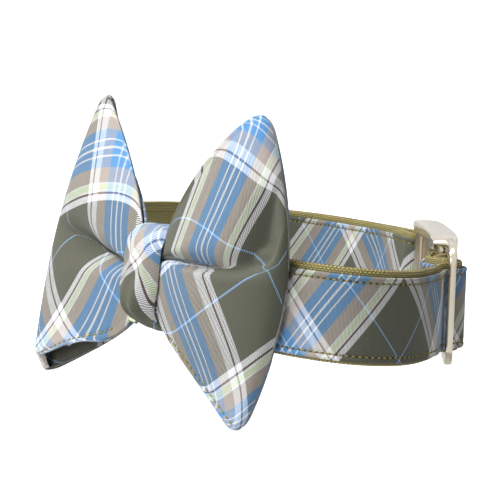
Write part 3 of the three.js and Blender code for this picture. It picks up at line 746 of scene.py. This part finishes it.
def lobe_point(L, q, v):
    """Outer surface of a loop. q runs from the knot (-1) over the front panel, round the outer fold (0) and
    back (1); v from the lower edge (-1) to the upper (1). The outer fold is a parabola through three points,
    both panels shrink from it to the pinched knot, and each is puffed between, less towards its edges."""
    q, v = np.broadcast_arrays(np.asarray(q, float), np.asarray(v, float))
    out, w = np.clip(1 - q * q, 0, 1), (v + 1) / 2
    up, down = np.clip(v, 0, None) ** 2, np.clip(-v, 0, None) ** 2
    # the surface halfway between the two panels, from the knot out to the fold
    at_bottom, at_mid, at_top = (1 - w) * (1 - 2 * w), 4 * w * (1 - w), w * (2 * w - 1)
    fold = lambda k: L["bottom"][k] * at_bottom + L["mid"][k] * at_mid + L["top"][k] * at_top
    grown = out * (1 - 0.1 * (1 - round_over(1 - np.abs(v), 0.14)))
    knot_x, knot_z = L["side"] * PINCH_X, PINCH_Z + PINCH_HALF * v
    x = knot_x + (fold(0) - knot_x) * grown
    z = knot_z + (fold(2) - knot_z) * grown ** 0.78
    shift = L["shift_top"] * up + L["shift_bottom"] * down
    middle = PINCH_Y + (fold(1) - PINCH_Y) * grown + shift * 4 * grown * (1 - grown)
    # how far each panel stands off it: round the fold, and puffed
    inward, radius = (1 - out) * REACH, mix(FOLD_RADIUS, L["edge"], up ** 4) + L["mouth"] * down ** 2
    rounded = np.where(inward < radius, np.sqrt(np.clip(inward * (2 * radius - inward), 0, None)), radius)
    full = 2 * out ** 0.8 * np.sqrt(1 - out)
    front_puff = L["puff"] * full * np.clip(1 - L["front_top"] * up - L["front_bottom"] * down, 0.05, None)
    back_puff = L["back"] * full * (1 - L["back_top"] * up - L["back_bottom"] * down)
    # the back panel comes to rest against the strap
    past_strap = np.maximum(0, np.maximum(-1 - z, z - WIDTH - 1))
    clear = np.interp(x, behind[:, 0], behind[:, 1]) - 0.5 + 0.8 * past_strap
    back_y = middle + np.hypot(rounded, back_puff) + 2 * (1 - out) ** 2 * (1 - 0.9 * v ** 4)
    free = np.clip(0.5 + 0.5 * (clear - back_y) / 1.5, 0, 1)
    back_y = mix(clear, back_y, free) - 1.5 * free * (1 - free)
    # the front panel is creased and dimpled towards the back one, at most until they touch
    touch = back_y - 1.95 * rounded
    from_crease = v - through(L["crease"], out)
    opening = np.where(from_crease > 0, through(L["crease_above"], out), L["crease_below"])
    ridge = 1 - np.clip(1 - np.abs(from_crease) / opening, 0, 1) ** 2.4
    gather = 1.2 * ridge * (1 - v * v) * (1 - out) ** 2
    front_y = middle - np.hypot(rounded, front_puff) - gather
    front_y = mix(front_y, touch, 0.95 * (1 - ridge) * (1 - smooth(*L["crease_fade"], out)))
    past, hollow = into_dimple(q, v)
    dent = crest(past, 0, np.where(past < 0, 0.11, 0.17)) * hollow
    front_y = np.minimum(front_y + L["dimple"] * dent, touch)
    # the edges, moved up or down
    bow = np.sin(np.pi * out ** 1.5)
    rim = np.where(q < 0, through(L["rise"], out), L["rise"][4]) * (1 - smooth(-0.14, 0.08, q))
    z = z + rim * down ** 2 - np.where(q < 0, 0, (L["drop"] * down + L["sink"] * up) * bow)
    return together(x, np.where(q < 0, front_y, np.where(q > 0, back_y, (front_y + back_y) / 2)), z)


# How the plaid lies on each half of a front panel: the reading of its two yarn directions,
# in millimetres of cloth, at the half's four corners, and how much more it is halfway along.
# The halves meet in the crease.
PLAID = dict(
    right=dict(upper=dict(knot=(-20, 13), fold=(33, 34), edge=(-23, 31), tip=(2, 64), bow=(1, -1)),
               lower=dict(knot=(8, -4), fold=(33, 34), edge=(27, -15), tip=(64, 11), bow=(2, 0))),
    left=dict(upper=dict(knot=(23, -6), fold=(48, 43), edge=(44, -12), tip=(80, 13), bow=(1, 3)),
              lower=dict(knot=(-7, 19), fold=(48, 43), edge=(-10, 31), tip=(9, 67), bow=(4, 3))))
DRAWN_IN = 0.6  # cloth that the dimple takes up, for its depth
# how far the reading goes on round the fold and over the back
ROUND_FOLD, OVER_BACK = np.array([8.0, 11.0]), np.array([34.0, 30.0])
LINING_FROM = np.array([17.0, 20.0])  # the lining's reading at the lower end of the fold


def cloth_place(side, q, v):
    """Plaid coordinates on a front panel. With a the fraction of the way out along the cloth,
    (r + 1 - |q|) / 2 for r = 1 - q^2, and u the fraction of the way from the crease to the free edge, the
    reading changes evenly between the four corners, k(1-a)(1-u) + f a(1-u) + e(1-a)u + t a u, plus
    4 a(1-a) times the bow: once above the crease and once below it."""
    r = np.clip(1 - q * q, 0, 1)
    a = ((r + 1 - np.abs(q)) / 2)[..., None]
    at = through(LOBES[side]["crease"], r)
    halves = []
    for half, u in (("upper", (v - at) / (1 - at)), ("lower", (at - v) / (1 + at))):
        knot, fold, edge, tip, bow = (np.array(k, float) for k in PLAID[side][half].values())
        even = mix(mix(knot, fold, a), mix(edge, tip, a), np.clip(u, 0, 1)[..., None])
        halves.append(even + 4 * a * (1 - a) * bow)
    past, hollow = into_dimple(q, v)
    near = smooth(-0.24, 0.0, past) * (1 - smooth(0.06, 0.36, past))
    drawn = DRAWN_IN * LOBES[side]["dimple"] * hollow * near
    halves[0] = halves[0] + drawn[..., None] * np.array([1.0, 0.0])
    return mix(halves[1], halves[0], smooth(-0.02, 0.03, v - at)[..., None])


def lobe_map(side, q, v):
    """The front panel's plaid, carried on round the fold and over the back at the slope of the bias."""
    r = np.clip(1 - q * q, 0, 1)
    front = cloth_place(side, q, v)
    over = cloth_place(side, np.zeros_like(q), v) + (1 - r)[..., None] * OVER_BACK
    over += smooth(0, 0.07, q)[..., None] * ROUND_FOLD
    return np.where((q <= 0)[..., None], front, over)


def lining_map(uv):
    """The lining's plaid: the same cloth moved along, so that its plain ground shows in the open end."""
    return uv - uv[len(uv) // 2, 0] + LINING_FROM


def lobe_shell(side):
    """Outer surface and a lining one cloth thickness inside it, joined round both free edges; the hem is a
    shade fuller, with a groove where it is stitched."""
    L = LOBES[side]
    q = np.linspace(-1, 1, 129)
    t = np.linspace(-1, 1, 121)
    v = np.sign(t) * (1 - (1 - np.abs(t)) ** 1.15)
    qq, vv = np.meshgrid(q, v, indexing="ij")
    e = 0.004
    p = lobe_point(L, qq, vv)
    dq = lobe_point(L, np.clip(qq + 4 * e, -1, 1), vv) - lobe_point(L, np.clip(qq - 4 * e, -1, 1), vv)
    dv = lobe_point(L, qq, np.clip(vv + e, -1, 1)) - lobe_point(L, qq, np.clip(vv - e, -1, 1))
    normal = np.cross(dq, dv) * L["side"]
    normal /= np.linalg.norm(normal, axis=-1)[..., None]
    normal[[0, -1]] = np.array([[0, -1, 0], [0, 1, 0]])[:, None]
    up = dv / np.linalg.norm(dv, axis=-1)[..., None]
    from_edge = (1 - np.abs(vv)) * mix(*HALF_HEIGHT, 1 - qq ** 2)
    hem = 0.12 * crest(from_edge, 0.9, 0.7) - 0.22 * crest(from_edge, 2.0, 0.45)
    outer = p + normal * (hem * smooth(0.0, 0.3, 1 - qq ** 2))[..., None]
    inner = p - normal * CLOTH
    edge = lambda j, sign: ((outer[:, j] + inner[:, j]) / 2 + sign * 0.35 * up[:, j])[:, None]
    ring = np.concatenate([edge(0, -1), outer, edge(-1, 1), inner[:, ::-1]], 1)
    uv = lobe_map(side, qq, vv)
    uv = np.concatenate([uv[:, :1], uv, uv[:, -1:], lining_map(uv)[:, ::-1]], 1)
    into_knot = np.array([L["side"] * -4.2, 0, 0])
    ring = np.concatenate([ring[:1] + into_knot, ring, ring[-1:] + into_knot])
    uv = np.concatenate([uv[:1], uv, uv[-1:]])
    return shell(ring, uv)


bow_plaid = plaid_material("bow_plaid")
for side in ("right", "left"):
    lobe = make("bow_loop_" + side, [lobe_shell(side)], bow_plaid, 70)
    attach(lobe, "root")
    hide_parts("bow_lobe_" + side)


def edge_stitches(side):
    """Topstitching 2 mm in from a front panel's lower edge, each thread laid on the cloth's own slope."""
    L = LOBES[side]
    q = np.linspace(-0.93, -0.05, 400)
    v = 2.0 / mix(*HALF_HEIGHT, 1 - q * q) - 1
    path = lobe_point(L, q, v)
    unit = lambda d: d / np.linalg.norm(d, axis=-1)[:, None]
    ahead, up = unit(np.gradient(path, axis=0)), unit(lobe_point(L, q, v + 0.02) - path)
    out = np.cross(ahead, up) * L["side"]
    s = np.concatenate([[0], np.cumsum(np.linalg.norm(np.diff(path, axis=0), axis=1))])
    along = lambda values, t: together(*(np.interp(t, s, k) for k in values.T))

    def on_hem(t, off, w):
        """t along the hem, off out from the cloth and w up it."""
        return along(path, t) + along(out, t) * (off - 0.1)[..., None] + along(up, t) * w[..., None]
    return stitches(on_hem, np.arange(1, s[-1] - 1, 1.4 * STITCH), 1.5)


bow_seams = make("bow_stitching", [edge_stitches("right"), edge_stitches("left")], thread_olive, 180)
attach(bow_seams, "root")

# ----------------------------------------------------------------- bow wrap
# The knot: a short pleated band of the plaid wrapped round the pinched middle of the
# bow and round the strap behind it, and sewn to itself at the back.
KNOT = dict(half=7.6, swell=2.2, low=-0.6, high=26.1, front=-9.0, back=1.6, top_r=5.5, low_r=7, back_r=0.9,
            wall=1.3, crown=3.2)
# how the plaid lies on the band: its two yarn directions, its reading and how far off that is found,
# how much the cloth is stretched, and what the pleats take up
BAND_WARP, BAND_WEFT = np.radians(32.55), np.radians(39.2)
BAND_MIDDLE, BAND_STRETCH = 47.0, 1.1
BAND_START, BAND_TAKEN = (5.9, 13.6), (-6.3, 2.0)


def arc(y, z, radius, start, end, count):
    """Points round an arc, by depth and height, and the way out from it at each."""
    a = np.linspace(start, end, count)
    return together(y + radius * np.cos(a), z + radius * np.sin(a), np.cos(a), np.sin(a))


def line(start, end, outward, count):
    """Points between two corners, which it leaves out, and the way out at each."""
    t = np.linspace(0, 1, count + 2)[1:-1, None]
    return np.hstack([mix(np.array(start, float), np.array(end, float), t), np.tile(outward, (count, 1))])


def wrap_shell():
    """Rounded oblong (depth by height) as the band's path; its section is flat inside, and crowned and
    pleated outside."""
    K = KNOT
    low, high, front, back = K["low"], K["high"], K["front"], K["back"]
    back_r, top_r, low_r = K["back_r"], K["top_r"], K["low_r"]
    quarter = np.pi / 2
    path = np.vstack([arc(back - back_r, low + back_r, back_r, -quarter, 0, 6),
                      line((back, low + 1), (back, high - 1), (1, 0), 18),
                      arc(back - back_r, high - back_r, back_r, 0, quarter, 6),
                      line((back - 1, high), (front + top_r, high), (0, 1), 6),
                      arc(front + top_r, high - top_r, top_r, quarter, 2 * quarter, 16),
                      line((front, high - top_r), (front, low + low_r), (-1, 0), 14),
                      arc(front + low_r, low + low_r, low_r, 2 * quarter, 3 * quarter, 16),
                      line((front + low_r, low), (back - 1, low), (0, -1), 4)])
    y, z, ny, nz = path.T[:, :, None]
    c = np.concatenate([[0], np.cumsum(np.hypot(np.diff(y[:, 0]), np.diff(z[:, 0])))])[:, None]
    facing = np.clip(-ny, 0, 1)
    foot = smooth(12, 0, z)
    w = K["half"] - 0.5 + (K["swell"] - 3.6 * foot) * facing
    x, outside = both_faces(np.linspace(-1, 1, 29))
    round_off = round_over(1 - np.abs(x), 0.09)
    folds = np.cos(2 * np.pi * (x * 1.55 + 0.02 * c + 0.15)) * (1 - x ** 2) ** 0.5
    pleat = 0.32 * folds * smooth(0, 1, facing * 1.2)
    full = (K["crown"] + 2.0 * crest(z, 7, 6)) * facing * (1 - np.abs(x) ** 2.6) * (1 - 0.7 * smooth(6, 0, z))
    lining = 0.5 * K["wall"] * (1 - round_off)
    off = np.where(outside > 0, 0.5 * K["wall"] + 0.5 * K["wall"] * round_off + full + pleat, lining)
    p = together(w * x + 1.4 * foot, y + ny * off, z + nz * off)
    wide, tall, taken = w * x, (c[-1] - c) - 7.0, crest(z, 13.5, 10.5)
    warp = np.cos(BAND_WARP) * wide + np.sin(BAND_WARP) * tall - BAND_START[0]
    weft = -np.sin(BAND_WEFT) * wide + np.cos(BAND_WEFT) * tall - BAND_START[1]
    readings = [BAND_MIDDLE + k * BAND_STRETCH + more * taken for k, more in zip((warp, weft), BAND_TAKEN)]
    return shell(p, together(*readings), ring=True)


wrap = make("bow_wrap", [wrap_shell()], bow_plaid, 70)
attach(wrap, "root")
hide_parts("bow_knot")

# ------------------------------------------------------------- studio floor
# A plain pale table, wide soft lights above and at both sides, and the camera a little
# above the strap, looking past the bow's right loop along the side of the collar.
TABLE_HALF, TABLE_TOP = 3, -0.0004
AMBIENT, SEEN, MIRRORED = 0.19, 0.8, 0.9  # the room's own light, what the camera sees, and metal
table, tree, shader = material("table_white", 0.6)
shader.inputs["Base Color"].default_value = (0.6, 0.6, 0.6, 1)
shader.inputs["Emission Color"].default_value = (1, 1, 1, 1)
ray = tree.nodes.new("ShaderNodeLightPath")
tree.links.new(math(tree, "MULTIPLY", ray.outputs["Is Camera Ray"], 0.85), shader.inputs["Emission Strength"])
corners = [(x * TABLE_HALF, y * TABLE_HALF, TABLE_TOP) for x, y in ((-1, -1), (1, -1), (1, 1), (-1, 1))]
mesh = bpy.data.meshes.new("table")
mesh.from_pydata(corners, [], [(0, 1, 2, 3)])
mesh.materials.append(table)
floor = bpy.data.objects.new("table", mesh)
bpy.context.collection.objects.link(floor)

world = bpy.data.worlds.new("studio")
bpy.context.scene.world = world
world.use_nodes = True
tree = world.node_tree
background = tree.nodes["Background"]
background.inputs[0].default_value = (1, 1, 1, 1)
ray = tree.nodes.new("ShaderNodeLightPath")
mirrored = math(tree, "MULTIPLY", ray.outputs["Is Glossy Ray"], MIRRORED)
bright = math(tree, "MAXIMUM", ray.outputs["Is Camera Ray"], mirrored)
tree.links.new(math(tree, "ADD", AMBIENT, math(tree, "MULTIPLY", bright, SEEN)), background.inputs[1])


def soft_light(name, at, size, power):
    """A square soft box that faces the collar."""
    data = bpy.data.lights.new(name, "AREA")
    data.shape, data.size, data.energy = "SQUARE", size, power
    obj = bpy.data.objects.new(name, data)
    obj.location = at
    obj.rotation_euler = (Vector((0, 0, 0.03)) - Vector(at)).to_track_quat("-Z", "Y").to_euler()
    bpy.context.collection.objects.link(obj)


soft_light("key", (-0.25, -0.75, 1.1), 0.4, 19)
soft_light("top", (0.15, 0.0, 1.3), 0.8, 6)
soft_light("front", (0.35, -1.1, 0.35), 0.5, 5)

# the camera stands to the right of the bow, turned and tipped towards it, in metres and degrees
STAND, HEADING, DOWN, ROLL = (0.4795, -0.2938, 0.1414), 59.4, 10.85, -0.8
data = bpy.data.cameras.new("camera")
data.sensor_width, data.lens = 36, 135.6
camera = bpy.data.objects.new("camera", data)
camera.rotation_euler = (Matrix.Rotation(np.radians(HEADING), 3, "Z")
                         @ Matrix.Rotation(np.radians(90 - DOWN), 3, "X")
                         @ Matrix.Rotation(np.radians(ROLL), 3, "Z")).to_euler()
camera.location = STAND
bpy.context.collection.objects.link(camera)
bpy.context.scene.camera = camera
bpy.context.scene.view_settings.view_transform = "Standard"
